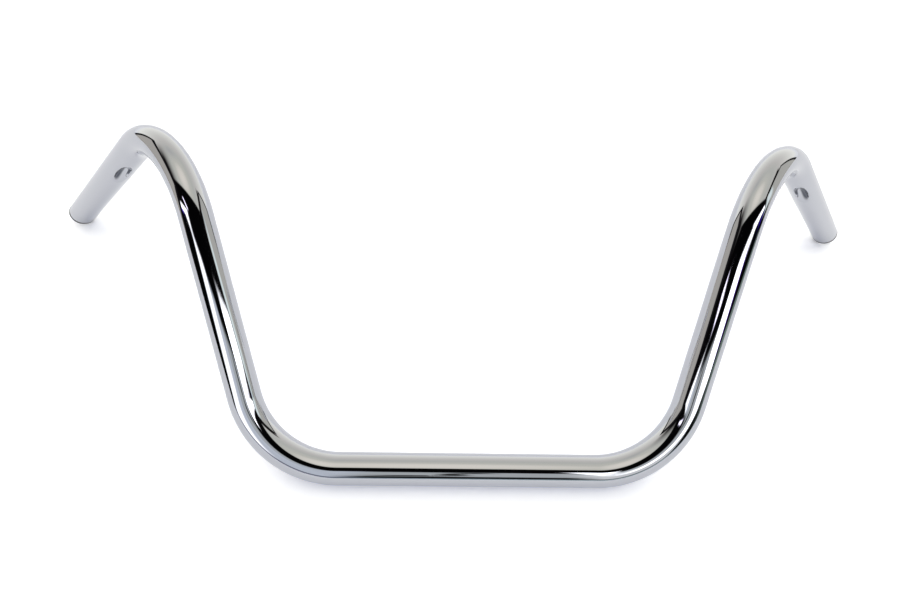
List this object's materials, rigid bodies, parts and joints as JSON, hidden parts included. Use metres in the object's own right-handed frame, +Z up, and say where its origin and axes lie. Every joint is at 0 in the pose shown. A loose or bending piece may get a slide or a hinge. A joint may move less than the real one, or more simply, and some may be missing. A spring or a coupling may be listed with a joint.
{
  "type": "motorcycle handlebar",
  "caption": "Buckhorn motorcycle handlebar: one chromed steel tube that rises from a straight clamp stretch and turns back and outwards to two grip stretches, each with a pressed indent.",
  "frame": {"origin": "on the tube's axis, in the middle of the straight clamp stretch", "axes": "+X along the clamp stretch towards the right-hand grip, +Y towards the grips, +Z up, with the bar lying on its clamp stretch and on the rims of its two cut ends"},
  "size_m": [0.8564, 0.3114, 0.1861],
  "materials": {
    "chromed_tube": "polished"
  },
  "bodies": {
    "root": {"handlebar_tube": "chromed_tube"}
  },
  "joints": []
}
